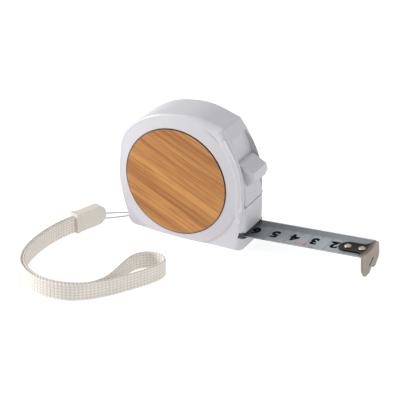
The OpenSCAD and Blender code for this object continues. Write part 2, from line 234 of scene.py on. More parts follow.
def smooth_curve(points, steps):
    """Catmull-Rom curve through the points, as the CAD draws it."""
    p = [Vector(q) for q in points]
    last = len(p) - 1
    curve = []
    for i in range(last):
        a, b, c, d = p[max(0, i - 1)], p[i], p[i + 1], p[min(last, i + 2)]
        for k in range(steps):
            t = k / steps
            curve.append(0.5 * (2 * b + (c - a) * t + (2 * a - 5 * b + 4 * c - d) * t * t
                                + (3 * b - a - 3 * c + d) * t ** 3))
    return curve + [p[last]]


def evenly(points, step):
    """The same route, with points about one step apart."""
    lengths = [0.0]
    for a, b in zip(points, points[1:]):
        lengths.append(lengths[-1] + (b - a).length)
    count = max(2, round(lengths[-1] / step))
    out, i = [], 0
    for k in range(count + 1):
        s = lengths[-1] * k / count
        while i < len(points) - 2 and lengths[i + 1] < s:
            i += 1
        t = (s - lengths[i]) / max(lengths[i + 1] - lengths[i], 1e-9)
        out.append(points[i].lerp(points[i + 1], t))
    return out


# ---------- materials ----------


def new_material(name):
    material = bpy.data.materials.new(name)
    material.use_nodes = True
    nodes, links = material.node_tree.nodes, material.node_tree.links
    return material, nodes, links, nodes["Principled BSDF"]


def object_coordinates(nodes, links, turn=(0, 0, 0), scale=(1, 1, 1)):
    """Position on the piece in metres, turned and then scaled."""
    place = nodes.new("ShaderNodeTexCoord")
    mapping = nodes.new("ShaderNodeMapping")
    mapping.vector_type = "TEXTURE"
    mapping.inputs["Rotation"].default_value = [math.radians(x) for x in turn]
    stretch = nodes.new("ShaderNodeMapping")
    stretch.inputs["Scale"].default_value = scale
    links.new(place.outputs["Object"], mapping.inputs["Vector"])
    links.new(mapping.outputs["Vector"], stretch.inputs["Vector"])
    return stretch.outputs["Vector"]


def noise(nodes, links, vector, size, detail=4, roughness=0.5):
    """Noise with features of about this many millimetres."""
    texture = nodes.new("ShaderNodeTexNoise")
    texture.inputs["Scale"].default_value = 1 / (size * MM)
    texture.inputs["Detail"].default_value = detail
    texture.inputs["Roughness"].default_value = roughness
    links.new(vector, texture.inputs["Vector"])
    return texture.outputs["Fac"]


def ramp(nodes, links, value, stops):
    """Colour ramp from (place, colour) stops; a colour is a grey or three numbers."""
    node = nodes.new("ShaderNodeValToRGB")
    elements = node.color_ramp.elements
    while len(elements) < len(stops):
        elements.new(0.5)
    for element, (place, colour) in zip(elements, stops):
        element.position = place
        rgb = (colour,) * 3 if isinstance(colour, (int, float)) else colour
        element.color = (*rgb, 1)
    links.new(value, node.inputs["Fac"])
    return node.outputs["Color"]


def mixed(nodes, links, a, b, share, blend="MIX"):
    node = nodes.new("ShaderNodeMix")
    node.data_type = "RGBA"
    node.blend_type = blend
    for socket, value in ((node.inputs[0], share), (node.inputs[6], a), (node.inputs[7], b)):
        if isinstance(value, bpy.types.NodeSocket):
            links.new(value, socket)
        elif isinstance(value, (int, float)):
            socket.default_value = value
        else:
            socket.default_value = (*value, 1)
    return node.outputs[2]


def along(nodes, links, vector, axis):
    """One of a vector's three parts."""
    split = nodes.new("ShaderNodeSeparateXYZ")
    links.new(vector, split.inputs[0])
    return split.outputs[axis]


def between(nodes, links, value, start, end):
    """0 where a length is up to start, and 1 from end on."""
    spread = nodes.new("ShaderNodeMapRange")
    spread.inputs["From Min"].default_value = start * MM
    spread.inputs["From Max"].default_value = end * MM
    links.new(value, spread.inputs["Value"])
    return spread.outputs["Result"]


def arithmetic(nodes, links, operation, *values):
    """Result of a math node on numbers and other nodes' results."""
    node = nodes.new("ShaderNodeMath")
    node.operation = operation
    for socket, value in zip(node.inputs, values):
        if isinstance(value, bpy.types.NodeSocket):
            links.new(value, socket)
        else:
            socket.default_value = value
    return node.outputs[0]


def of_points(nodes, name):
    """The value that a mesh stores for each point, or 0 where it stores none."""
    node = nodes.new("ShaderNodeAttribute")
    node.attribute_name = name
    return node.outputs["Fac"]


def add_bump(nodes, links, shader, height, depth):
    """Bump of this many millimetres from a 0 to 1 height."""
    bump = nodes.new("ShaderNodeBump")
    bump.inputs["Strength"].default_value = 1.0
    bump.inputs["Distance"].default_value = depth * MM
    links.new(height, bump.inputs["Height"])
    links.new(bump.outputs["Normal"], shader.inputs["Normal"])


def moulded(name, colour, roughness, grain=0.25, depth=0.006, specular=0.5, vary=0.03):
    """Moulded plastic or rubber: a fine grain, and gloss and tone that vary a little."""
    material, nodes, links, shader = new_material(name)
    here = object_coordinates(nodes, links)
    fine = noise(nodes, links, here, grain, 3)
    broad = noise(nodes, links, here, 9, 4)
    dark = tuple(c * (1 - vary) for c in colour)
    links.new(ramp(nodes, links, broad, [(0.3, dark), (0.7, colour)]),
              shader.inputs["Base Color"])
    links.new(ramp(nodes, links, broad, [(0.25, roughness - 0.05), (0.75, roughness + 0.05)]),
              shader.inputs["Roughness"])
    shader.inputs["Specular IOR Level"].default_value = specular
    add_bump(nodes, links, shader, fine, depth)
    return material


RIVET_HIGHLIGHT = (2.0, 2.0, 2.0)    # painted highlight: how much brighter the rivets are painted than the metal round them
# Painted shade along x, darker towards the mouth: x up to which it is darkest, x where it ends,
# and its tone at its darkest.
# the hook's tang painted almost black, as painted shade for the dark reflection it shows
HOOK_TANG_SHADE = (92, 94.2, 0.07)
# the blade painted darker near the mouth, as painted shade for the case's shadow and dark
# reflection on it
BLADE_SHADE = (36, 62, 0.52)


def metal(name, colour, roughness, turn=(0, 0, 0), depth=0.004, vary=0.12, metallic=1.0,
          painted_shade=None):
    """Brushed or rolled metal, its fine lines along the turned x axis.

    The optional painted shade darkens the metal along x; points that a mesh marks with its
    highlight attribute are painted brighter instead, as a painted highlight.
    """
    material, nodes, links, shader = new_material(name)
    lines = noise(nodes, links, object_coordinates(nodes, links, turn, (0.03, 1, 1)), 0.12, 4)
    broad = noise(nodes, links, object_coordinates(nodes, links), 3, 4)
    dark = tuple(c * (1 - vary) for c in colour)
    tone = ramp(nodes, links, broad, [(0.3, dark), (0.7, colour)])
    # painted shade along x, lifted into a painted highlight where a mesh's attribute is 1
    if painted_shade:
        start, end, shade = painted_shade
        x = along(nodes, links, object_coordinates(nodes, links), "X")
        shade_tone = ramp(nodes, links, between(nodes, links, x, start, end),
                     [(0.0, shade), (1.0, 1.0)])
        shade_tone = mixed(nodes, links, shade_tone, RIVET_HIGHLIGHT, of_points(nodes, "painted_highlight"))
        tone = mixed(nodes, links, tone, shade_tone, 1.0, "MULTIPLY")
    links.new(tone, shader.inputs["Base Color"])
    links.new(ramp(nodes, links, lines, [(0.3, roughness - 0.06), (0.7, roughness + 0.08)]),
              shader.inputs["Roughness"])
    shader.inputs["Metallic"].default_value = metallic
    add_bump(nodes, links, shader, lines, depth)
    return material


GRAIN_TURN = 24.0           # the grain runs down to the front by this angle
STRIP_WIDTH = 3.9           # width of one laminated strip
STRIP_WAVE = 0.25           # how far its edges wander, in strips
RIM_SHADE = (0.28, 0.1)      # painted shade for the gap round the disc: the rim darkens between these distances from the disc's edge


def from_disc_axis(nodes, links):
    """Distance from the disc's axis."""
    flat = nodes.new("ShaderNodeVectorMath")
    flat.operation = "MULTIPLY"
    flat.inputs[1].default_value = (1, 0, 1)
    links.new(object_coordinates(nodes, links), flat.inputs[0])
    away = nodes.new("ShaderNodeVectorMath")
    away.operation = "DISTANCE"
    away.inputs[1].default_value = (DISC_CENTRE[0] * MM, 0, DISC_CENTRE[1] * MM)
    links.new(flat.outputs[0], away.inputs[0])
    return away.outputs["Value"]


def bamboo():
    """Laminated bamboo: strips of slightly different tone with long fibres and thin glue lines,
    and painted shade round the rim.
    """
    material, nodes, links, shader = new_material("bamboo")

    def grain(shrink, size, detail, roughness=0.5):
        turned = object_coordinates(nodes, links, (0, GRAIN_TURN, 0), (shrink, 1, 1))
        return noise(nodes, links, turned, size, detail, roughness)

    across = along(nodes, links, object_coordinates(nodes, links, (0, GRAIN_TURN, 0)), "Z")
    strip = arithmetic(nodes, links, "MULTIPLY_ADD", across, 1 / (STRIP_WIDTH * MM),
                       arithmetic(nodes, links, "MULTIPLY", grain(0.25, 9, 2), STRIP_WAVE))
    within = arithmetic(nodes, links, "FRACT", strip)
    tone = nodes.new("ShaderNodeTexWhiteNoise")
    tone.noise_dimensions = "1D"
    links.new(arithmetic(nodes, links, "FLOOR", strip), tone.inputs["W"])
    fibres = grain(0.02, 0.5, 6, 0.7)
    streaks = grain(0.035, 1.4, 5, 0.65)
    base = ramp(nodes, links, tone.outputs["Value"],
                [(0.0, (0.40, 0.166, 0.043)), (0.5, (0.48, 0.209, 0.057)),
                 (1.0, (0.58, 0.269, 0.080))])
    streaked = mixed(nodes, links, base, (0.29, 0.108, 0.028),
                     ramp(nodes, links, streaks, [(0.48, 0.0), (0.62, 0.70)]))
    grained = mixed(nodes, links, streaked, ramp(
        nodes, links, fibres, [(0.36, 0.68), (0.62, 1.0)]), 0.75, "MULTIPLY")
    glue = ramp(nodes, links, within, [(0.0, 0.72), (0.035, 1.0), (0.965, 1.0), (1.0, 0.72)])
    glued = mixed(nodes, links, grained, glue, 0.8, "MULTIPLY")
    # painted shade round the disc's rim, where it meets the gap to its recess
    rim_shade = between(nodes, links, from_disc_axis(nodes, links), *(DISC_R - x for x in RIM_SHADE))
    links.new(mixed(nodes, links, glued, (0.045, 0.018, 0.007), rim_shade), shader.inputs["Base Color"])
    links.new(ramp(nodes, links, fibres, [(0.3, 0.42), (0.7, 0.55)]), shader.inputs["Roughness"])
    shader.inputs["Specular IOR Level"].default_value = 0.35
    add_bump(nodes, links, shader, fibres, 0.03)
    return material


def cloth(name, colour, dark, woven=False):
    """Yarn with fine fibres; the weave is in the mesh, and woven paints shade into its gaps."""
    material, nodes, links, shader = new_material(name)
    here = object_coordinates(nodes, links)
    fibres = noise(nodes, links, here, 0.16, 5, 0.7)
    broad = noise(nodes, links, here, 6, 3)
    tone = mixed(nodes, links, dark, colour,
                 ramp(nodes, links, fibres, [(0.3, 0.35), (0.6, 1.0)]))
    if woven:
        # painted shade in the weave's gaps
        gap_shade = ramp(nodes, links, of_points(nodes, "weave"), [(0.15, 0.76), (0.75, 1.0)])
        tone = mixed(nodes, links, tone, gap_shade, 1.0, "MULTIPLY")
    links.new(mixed(nodes, links, tone, ramp(nodes, links, broad, [(0.3, 0.94), (0.7, 1.0)]),
                    1.0, "MULTIPLY"), shader.inputs["Base Color"])
    shader.inputs["Roughness"].default_value = 0.85
    shader.inputs["Specular IOR Level"].default_value = 0.25
    shader.inputs["Sheen Weight"].default_value = 0.25
    shader.inputs["Sheen Roughness"].default_value = 0.5
    add_bump(nodes, links, shader, fibres, 0.06)
    return material


MATERIALS = {
    "white_plastic": moulded("white_plastic", (0.53, 0.522, 0.552), 0.36),
    "bamboo": bamboo(),
    "black_plastic": moulded("black_plastic", (0.022, 0.022, 0.026), 0.5),
    "black_rubber": moulded("black_rubber", (0.02, 0.02, 0.02), 0.75, 0.4, 0.02),
    "nylon": moulded("nylon", (0.7, 0.69, 0.63), 0.45),
    "clamp_plastic": moulded("clamp_plastic", (0.62, 0.585, 0.53), 0.48, 0.3, 0.01),
    "bright_steel": metal("bright_steel", (0.62, 0.62, 0.64), 0.28),
    "spring_steel": metal("spring_steel", (0.55, 0.56, 0.59), 0.3, (0, 90, 0)),
    "hook_nickel": metal("hook_nickel", (0.28, 0.238, 0.195), 0.36, (0, 90, 0), 0.003, 0.15,
                         0.8, HOOK_TANG_SHADE),
    "blade_paint": metal("blade_paint", (0.42, 0.45, 0.475), 0.36, (0, -BLADE_PITCH, 0),
                         0.002, 0.06, 0.35, BLADE_SHADE),
    "ink": moulded("ink", (0.006, 0.006, 0.008), 0.8, specular=0.05),
    "red_ink": moulded("red_ink", (0.55, 0.13, 0.13), 0.8, specular=0.1),
    "string_cord": cloth("string_cord", (0.60, 0.585, 0.585), (0.42, 0.41, 0.41)),
    "webbing": cloth("webbing", (0.79, 0.745, 0.69), (0.60, 0.55, 0.49), True),
}


def paint(piece, slot, body=None):
    """Gives a piece its slot's material, and a new piece its body."""
    piece.data.materials.clear()
    piece.data.materials.append(MATERIALS[slot])
    if body:
        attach(piece, body)
    return piece


for row in frame["record"]["subparts"]:
    paint(frame["nodes"][row["node"]], row["material_slot"])

# ---------- cords: the string and the two legs of the webbing ----------

STRING_ROUTE = [(-40.2, -17.6, 4.8), (-37.4, -14, 4), (-34, -9.6, 3.2), (-30.4, -5, 2.3),
                (-27.8, -2.4, 2.2), (-25.8, -1.7, 2.3), (-24.9, -1.6, 1.4), (-25.8, -1.5, 0.5),
                (-27.8, -2.4, 0.5), (-31, -6.2, 0.6), (-36, -13.2, 1.4), (-39.8, -18, 2.3)]
STRAP_RUN = [(-42.8, -29), (-45, -34), (-47, -42), (-48, -52), (-47.6, -62), (-45.4, -72),
             (-40.5, -80.5), (-33, -86), (-25, -88.6), (-17, -88.4), (-10, -86)]
LOOP_OUTER = [(-3.6, -81.6), (1.4, -75.6), (5.4, -69.4), (9.2, -62.8), (12.3, -56.8),
              (14.2, -51.2), (14, -46.8), (11.2, -44.2)]
LOOP_INNER = [(-4.6, -81.4), (-1.2, -75), (-0.5, -68), (-0.8, -61), (-1, -54.6), (0, -49.2),
              (3.2, -45.2), (7.2, -43.6), (11.2, -44.2)]
STRING_WIDTH = 0.8
YARNS = 3                   # yarns in the string
YARN_LAY = 4.2              # length in which they go once round
YARN_DEPTH = 0.12           # depth of the furrows between them, in radii
STRAP_WIDTH = 8.6
STRAP_THICK = 1.2
STRAP_GAP = 0.16            # between the two legs of the webbing
CURVE_STEPS = 8             # points on a curve for each point of its route


def swept(name, route, ring, up=None):
    """Closed tube along a route. ring(s) lists the section's points (side, up) at length s."""
    points, faces, length = [], [], 0.0
    last = len(route) - 1
    for i, place in enumerate(route):
        if i:
            length += (place - route[i - 1]).length
        ahead = (route[min(last, i + 1)] - route[max(0, i - 1)]).normalized()
        side = ahead.cross(up or Vector((0.3, 0.9, 0.25))).normalized()
        high = side.cross(ahead)
        section = ring(length)
        points += [place + side * a + high * b for a, b in section]
    n = len(section)
    for i in range(last):
        faces += [(i * n + k, i * n + (k + 1) % n, (i + 1) * n + (k + 1) % n, (i + 1) * n + k)
                  for k in range(n)]
    faces += [tuple(range(n - 1, -1, -1)), tuple(last * n + k for k in range(n))]
    piece = mesh_object(name, points, faces)
    tidy_normals(piece)
    piece.data.polygons.foreach_set("use_smooth", [True] * len(piece.data.polygons))
    return piece


def twisted_section(s, sides=18):
    """Section of a string laid from yarns."""
    section = []
    for k in range(sides):
        a = 2 * math.pi * k / sides
        furrow = YARN_DEPTH * (1 - math.cos(YARNS * (a - 2 * math.pi * s / YARN_LAY)))
        radius = STRING_WIDTH / 2 * (1 - furrow)
        section.append((radius * math.cos(a), radius * math.sin(a)))
    return section


RIB_PITCH = 1.75            # length of one rib of the webbing
ROWS = 6                    # rows of yarn across the webbing
RIB_DEPTH = 0.22
ROW_DEPTH = 0.65            # depth of the furrows between rows, in rib depths
EDGE_LOOPS = 0.22           # depth of the gaps between the loops along the edges
EDGE_ROOM = 0.03            # how far the loops stay inside the webbing's width
BORDER = 0.07               # share of the half width in which the edges get thinner,
BORDER_THIN = 0.55          # and by how much
ACROSS = 36                 # points across one face of the webbing


def rib_height(s):
    """Height of the rib at length s, from 0 in the gap between ribs to 1."""
    return abs(math.sin(math.pi * s / RIB_PITCH)) ** 0.6


def row_height(k):
    """Height of the row of yarn at point k across a face, from 0 between rows to 1."""
    return abs(math.sin(math.pi * ROWS * k / ACROSS)) ** 0.5


def webbing_section(s):
    """Section of the webbing: ribs across it, parted into rows, with looped edges."""
    rib = rib_height(s)
    reach = STRAP_WIDTH / 2 - EDGE_LOOPS * (1 - rib) - EDGE_ROOM
    face = []
    for k in range(ACROSS + 1):
        t = 2 * k / ACROSS - 1
        yarn = RIB_DEPTH * rib * (1 - ROW_DEPTH + ROW_DEPTH * row_height(k))
        border = 1 - BORDER_THIN * max(0.0, abs(t) - 1 + BORDER) / BORDER
        face.append((t * reach, (STRAP_THICK / 2 - RIB_DEPTH + yarn) * border))
    return [(thick, high) for high, thick in face] + [(-thick, high) for high, thick in face[::-1]]


def webbing_shade(s):
    """How far each point of the section stands out of the weave's gaps, from 0 to 1, for the
    painted shade in the gaps.
    """
    face = [rib_height(s) * row_height(k) for k in range(ACROSS + 1)]
    return face + face[::-1]


def beside(route, distance):
    """A flat route moved sideways, to the right of its direction."""
    last = len(route) - 1
    moved = []
    for i, p in enumerate(route):
        ahead = (Vector(route[min(last, i + 1)]) - Vector(route[max(0, i - 1)])).normalized()
        moved.append(Vector(p) + distance * Vector((ahead.y, -ahead.x)))
    return moved


def strap_leg(name, side, loop):
    """One leg of the webbing, from the clamp to the tip of the end loop."""
    flat = beside(STRAP_RUN, side * (STRAP_THICK + STRAP_GAP) / 2) + [Vector(p) for p in loop]
    middle = [Vector((p.x, p.y, STRAP_WIDTH / 2)) for p in smooth_curve(flat, CURVE_STEPS)]
    route = evenly(middle, RIB_PITCH / 7)
    leg = swept(name, route, webbing_section, up=Vector((0, 0, 1)))
    shade, length = [], 0.0
    for a, b in zip(route[:1] + route, route):
        length += (b - a).length
        shade += webbing_shade(length)
    give_points(leg, "weave", shade)
    paint(leg, "webbing", "case")
    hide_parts(name)
    leg.name = name + "_woven"
    metres = [list(p * MM) for p in route]
    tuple(metres[0])
    return leg


def add_string():
    route = evenly(smooth_curve(STRING_ROUTE, CURVE_STEPS), 0.25)
    cord = swept("strap_string_laid", route, twisted_section)
    paint(cord, "string_cord", "case")
    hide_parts("strap_string")
    metres = [list(p * MM) for p in route]
    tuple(metres[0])


# ---------- the case ----------


LEAST_RADIUS = 0.3          # of a corner that is moved inwards


def rounded_outline(inset, steps):
    """The case's outline in x and z, moved inwards, each corner with its own radius."""
    n = len(CORNERS)
    moved = []
    for i, (x, z, radius) in enumerate(CORNERS):
        here = Vector((x, z))
        e = (here - Vector(CORNERS[i - 1][:2])).normalized()
        f = (Vector(CORNERS[(i + 1) % n][:2]) - here).normalized()
        ne, nf = Vector((-e.y, e.x)), Vector((-f.y, f.x))
        place = here + inset * (ne + nf) / (1 + ne.dot(nf))
        moved.append((place, max(LEAST_RADIUS, radius - inset)))
    outline = []
    for i, (b, radius) in enumerate(moved):
        u = (moved[i - 1][0] - b).normalized()
        v = (moved[(i + 1) % n][0] - b).normalized()
        half = u.angle(v) / 2
        centre = b + (u + v).normalized() * radius / math.sin(half)
        p, q = b + u * radius / math.tan(half), b + v * radius / math.tan(half)
        start = math.atan2(p.y - centre.y, p.x - centre.x)
        turn = (math.atan2(q.y - centre.y, q.x - centre.x) - start + 3 * math.pi) % (
            2 * math.pi) - math.pi
        outline += [centre + radius * Vector((math.cos(start + turn * k / steps),
                                              math.sin(start + turn * k / steps)))
                    for k in range(steps + 1)]
    return outline


def reach_along(outline, angle):
    """How far the outline is from the disc's centre in a direction."""
    centre = Vector(DISC_CENTRE)
    ray = Vector((math.cos(angle), math.sin(angle)))
    across = Vector((-ray.y, ray.x))
    for a, b in zip(outline, outline[1:] + outline[:1]):
        s, t = (a - centre).dot(across), (b - centre).dot(across)
        if (s <= 0 < t or t < 0 <= s) and s != t:
            hit = a + (b - a) * (s / (s - t)) - centre
            if hit.dot(ray) > 0:
                return hit.dot(ray)
    raise ValueError("the outline doesn't go round the disc's centre")


ANGLE_STEP = 1.5            # degrees between two directions on the open stretches
TIGHT = ((3, 2.4), (6, 5))  # corners up to each radius get closer ones, this far to each side


def case_angles():
    """Directions from the disc's centre: evenly spaced, and closer round the tight corners."""
    angles = {round(math.radians(ANGLE_STEP * k), 5) for k in range(round(360 / ANGLE_STEP))}
    for x, z, radius in CORNERS:
        spread = next((degrees for limit, degrees in TIGHT if radius < limit), None)
        if spread:
            middle = math.atan2(z - DISC_CENTRE[1], x - DISC_CENTRE[0])
            angles |= {round((middle + math.radians(spread) * k / 6) % (2 * math.pi), 5)
                       for k in range(-6, 7)}
    return sorted(angles)


LIP = 0.15                  # from the disc's recess to the ring's slope
LIP_DROP = 0.14             # depth of the recess's rounded edge
RING_SLOPE = 0.2            # how fast the ring falls away from the disc
SIDE_SLOPE = 0.04           # and the side beyond the ring
EDGE_R_MIN = 1.3            # rounding where the ring comes close to the outline
EDGE_SHARE = 0.8            # share of the side beyond the ring that the rounding may take
SEAM = 0.08                 # chamfer along the parting line
INNER_STEPS = (7.6, 9.6, 9.95)  # from the parting plane: the wall's foot, its fillet, the side
REAR_CORNER = math.radians(228)     # direction of the base's rear corner,
REAR_TIGHTER = 0.6          # and how much tighter the rounding is there
BASE_SHIFT = -0.85          # the rounding is this much smaller at the base, in insets,
FRONT_SHIFT = -0.6          # and this much larger at the front
INSET_STEPS = 8             # insets at which the outline's reach is worked out


def side_profile(reach, with_disc):
    """Points (distance from the disc's centre, depth below the side's highest level).

    reach(inset) is the distance to the outline moved inwards.
    """
    outer, seat = reach(0), DISC_R + DISC_GAP
    edge_r = min(EDGE_R, max(EDGE_R_MIN, EDGE_SHARE * (outer - RING_R)))
    edge = reach(edge_r)
    sunk = DISC_PROUD if with_disc else 0
    crease = min(RING_R, edge - 0.15)
    lip = seat + LIP
    profile = [(seat, 0)]
    if with_disc:
        profile = [(seat, DISC_SEAT), (seat, sunk + LIP_DROP), (seat + 0.05, sunk + 0.04)]
    profile += [(lip + (crease - lip) * k / 5, sunk + RING_SLOPE * (crease - lip) * k / 5)
                for k in range(6)]
    step = RING_STEP * min(1, (edge - crease - 0.15) / 1.5)
    past = crease + min(0.5, (edge - crease) / 2)
    foot = profile[-1][1] + step
    profile += [(past + (edge - past) * k / 4, foot + SIDE_SLOPE * (edge - past) * k / 4)
                for k in range(5)]
    top = profile[-1][1]
    tall = edge_r * min(1, max(0.3, (outer - edge) / edge_r))
    for degrees in range(10, 91, 10):
        a = math.radians(degrees)
        profile.append((reach(edge_r * (1 - math.sin(a))), top + tall * (1 - math.cos(a))))
    wall_end, fillet_end, inner_side = (CASE_HALF - step for step in INNER_STEPS)
    return profile + [
        (outer, CASE_HALF - SEAM), (outer - SEAM, CASE_HALF), (reach(WALL), CASE_HALF),
        (reach(WALL), wall_end), (reach(EDGE_R), fillet_end), (reach(EDGE_R) - 0.6, inner_side)]


def inset_reach(inset, angle):
    """Reach of the outline moved inwards: hardly at the base, and further at the front."""
    inset *= 1 - REAR_TIGHTER * max(0, math.cos(angle - REAR_CORNER)) ** 4
    outline = rounded_outline(inset, 24)

    def moved(x, z):
        return reach_along([p + Vector((x, z)) * inset for p in outline], angle)

    low = max(moved(0, 0), moved(0, BASE_SHIFT))
    front = max(moved(FRONT_SHIFT, 0), moved(FRONT_SHIFT, BASE_SHIFT))
    return min(low, front)


def reach_towards(angle):
    """The function from how far the outline is moved inwards to its reach in a direction."""
    reaches = [inset_reach(EDGE_R * k / INSET_STEPS, angle) for k in range(INSET_STEPS + 1)]
    reaches = [min(r, reaches[0]) for r in reaches]

    def reach(inset):
        place = inset / EDGE_R * INSET_STEPS
        low = min(int(place), INSET_STEPS - 1)
        return reaches[low] + (reaches[low + 1] - reaches[low]) * (place - low)

    return reach


def cover_shell(name, side, with_disc):
    """Half of the case as a closed shell. side is -1 for the disc's half and 1 for the clip's."""
    points, angles = [], case_angles()
    for angle in angles:
        for r, depth in side_profile(reach_towards(angle), with_disc):
            points.append((DISC_CENTRE[0] + r * math.cos(angle), side * (CASE_HALF - depth),
                           DISC_CENTRE[1] + r * math.sin(angle)))
    n, rows = len(angles), len(points) // len(angles)
    faces = [(i * rows + j, i * rows + j + 1, (i + 1) % n * rows + j + 1, (i + 1) % n * rows + j)
             for i in range(n) for j in range(rows - 1)]
    faces += [tuple(i * rows for i in range(n)),
              tuple(i * rows + rows - 1 for i in range(n - 1, -1, -1))]
    piece = mesh_object(name, points, faces)
    tidy_normals(piece)
    return piece


ON_LOCK = (Matrix.Translation((LOCK_FOOT[0], 0, LOCK_FOOT[1]))
           @ Matrix.Rotation(math.radians(-LOCK_LEAN), 4, "Y"))
ON_BLADE = (Matrix.Translation(MOUTH) @ Matrix.Rotation(math.radians(-BLADE_PITCH), 4, "Y"))


# Cutters and added walls as (lowest corner, highest corner); LOCK_ ones lie along the lock.
OUTSIDE = 14.0              # far enough to leave the case
RECESS_HALF = RECESS_WIDTH / 2
CLIP_HALF = CLIP_WIDTH / 2
LOCK_WALLS = ((-1.8, -RECESS_HALF - 1.4, -1.2), (OUTSIDE, RECESS_HALF + 1.4, RECESS_LENGTH + 1.2))
LOCK_STEM_SLOT = ((-6, -2.2, 4), (2, 2.2, 15))
NOTCH_WALLS = ((-40, -4.8, 0.02), (NOTCH_X + 1, 4.8, 5.4))
STRING_NOTCH = ((-40, -2.7, -1), (NOTCH_X, 2.7, 4.2))
CLIP_SEAT = ((-CLIP_HALF - 0.2, 11.6, 26.8), (CLIP_HALF + 0.2, OUTSIDE, CLIP_TOP + 0.2))
BEND_ROOM = ((-CLIP_HALF - 0.3, 11.3, CLIP_TOP - 3.4), (CLIP_HALF + 0.3, OUTSIDE, CLIP_TOP + 0.6))
PILLAR_R = 2.5
PILLAR_REACH = 10.4         # from the parting plane into the side
COUNTERBORE_R = 2.2
COUNTERBORE = (10, 13)      # from this depth to outside the case


def mouth_cutter():
    """Curved slot that the blade leaves by."""
    half, low = BLADE_WIDTH / 2 + MOUTH_BESIDE + MOUTH_ROOM, CUP_R + MOUTH_BELOW + MOUTH_ROOM
    top, n = MOUTH_TOP + MOUTH_ROOM, 16
    section = [(-half + 2 * half * k / n) for k in range(n + 1)]
    section = [(y, CUP_R - math.sqrt(low * low - y * y)) for y in section]
    section += [(half, top), (-half, top)]
    return prism("mouth_cutter", [[ON_BLADE @ Vector((u, y, z)) for y, z in section]
                                  for u in (-6, 8)])


def half_prism(name, inset, side, depth):
    """The outline as a solid from the parting plane to this depth on one side."""
    outline = [(p.x, p.y) for p in rounded_outline(inset, 12)]
    return extruded(name, outline, *sorted((0, side * depth)))


def with_inner_walls(piece, side):
    """Adds the wall behind the thumb lock, the walls round the notch and the screw pillars."""
    wall = box("wall", *LOCK_WALLS, ON_LOCK)
    boolean(wall, half_prism("limit", WALL / 2, side, INNER_Y + 0.5), "INTERSECT")
    boolean(piece, wall, "UNION")
    notch = box("notch", *NOTCH_WALLS)
    boolean(notch, half_prism("limit", 0.4, side, INNER_Y), "INTERSECT")
    boolean(piece, notch, "UNION")
    for centre in PILLARS:
        pillar = round_bar("pillar", centre, PILLAR_R, *sorted((0, side * PILLAR_REACH)))
        boolean(piece, pillar, "UNION")


def with_openings(piece):
    """Cuts the thumb lock's recess and slot, the string's notch and the blade's mouth."""
    half, top = RECESS_HALF, RECESS_TOP / 2
    outline = [(-half, 0), (half, 0), (half, RECESS_BEND), (top, RECESS_LENGTH),
               (-top, RECESS_LENGTH), (-half, RECESS_BEND)]
    boolean(piece, prism("recess", [[ON_LOCK @ Vector((h, y, s)) for y, s in outline]
                                    for h in (0, OUTSIDE)]))
    boolean(piece, box("stem_slot", *LOCK_STEM_SLOT, ON_LOCK))
    boolean(piece, box("string_notch", *STRING_NOTCH))
    boolean(piece, mouth_cutter())


def cover(name, side):
    """One half of the case, with its walls, pillars and openings."""
    piece = cover_shell(name + "_moulded", side, side < 0)
    with_inner_walls(piece, side)
    with_openings(piece)
    if side > 0:
        for centre in PILLARS:
            boolean(piece, round_bar("counterbore", centre, COUNTERBORE_R, *COUNTERBORE, 64))
        boolean(piece, box("clip_seat", *CLIP_SEAT))
        boolean(piece, box("bend_room", *BEND_ROOM))
    smooth_by_angle(piece, 24)
    weigh_normals(piece)
    paint(piece, "white_plastic", "case")
    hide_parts(name)
    return piece


cover("disc_side_cover", -1)
cover("clip_side_cover", 1)

# ---------- CAD shapes with their edges rounded ----------


WELD = 0.004                # points closer than this become one
FLAT = 0.4                  # faces that meet at less than this angle become one


def polished(node, slot, body, width, degrees=35, segments=3):
    """A copy of a CAD node with its seams closed and its sharp edges rounded."""
    source = frame["nodes"][node]
    piece = bpy.data.objects.new(node + "_finished", source.data.copy())
    SCENE.collection.objects.link(piece)
    bm = bmesh.new()
    bm.from_mesh(piece.data)
    bmesh.ops.remove_doubles(bm, verts=bm.verts, dist=WELD * MM)
    bmesh.ops.dissolve_limit(bm, angle_limit=math.radians(FLAT), verts=bm.verts, edges=bm.edges)
    bm.to_mesh(piece.data)
    bm.free()
    bevel_edges(piece, width, segments, degrees)
    smooth_by_angle(piece, 40)
    weigh_normals(piece)
    paint(piece, slot, body)
    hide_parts(node)
    return piece


polished("wooden_disc", "bamboo", "case", 0.15, 50)
polished("lock_button", "white_plastic", "lock", 0.5)
polished("end_hook", "hook_nickel", "hook", 0.18)
rivets = polished("hook_rivets", "hook_nickel", "blade", 0.05, 40, 2)
# the rivets are kept out of the tang's painted shade and painted brighter, as a painted highlight
give_points(rivets, "painted_highlight", [1.0] * len(rivets.data.vertices))
polished("strap_clamp", "clamp_plastic", "case", 0.6)
polished("clip_base", "spring_steel", "case", 0.12, 50)
polished("clip_tongue", "spring_steel", "clip", 0.12, 50)
polished("clip_screw", "bright_steel", "case", 0.1, 50, 2)

add_string()
strap_leg("strap_outer", 1, LOOP_OUTER)
strap_leg("strap_inner", -1, LOOP_INNER)

# ---------- print on the blade ----------


def on_cup(u, v, lift):
    """Point on the blade's upper face: u from the mouth, v across it, lift above it."""
    radius = CUP_R - BLADE_THICK
    angle = v / radius
    radius -= lift
    return ON_BLADE @ Vector((u, radius * math.sin(angle), CUP_R - radius * math.cos(angle)))


PRINT_LOW, PRINT_HIGH = -0.02, 0.035    # the print's faces, above the blade's
DIGIT_HEIGHT = 6.6
DIGIT_NARROW = 0.95         # width of a figure, compared with the font's
DIGIT_BOLD = 0.055
DIGIT_CUTS = 12             # a figure is cut into this many strips, to follow the blade's hollow


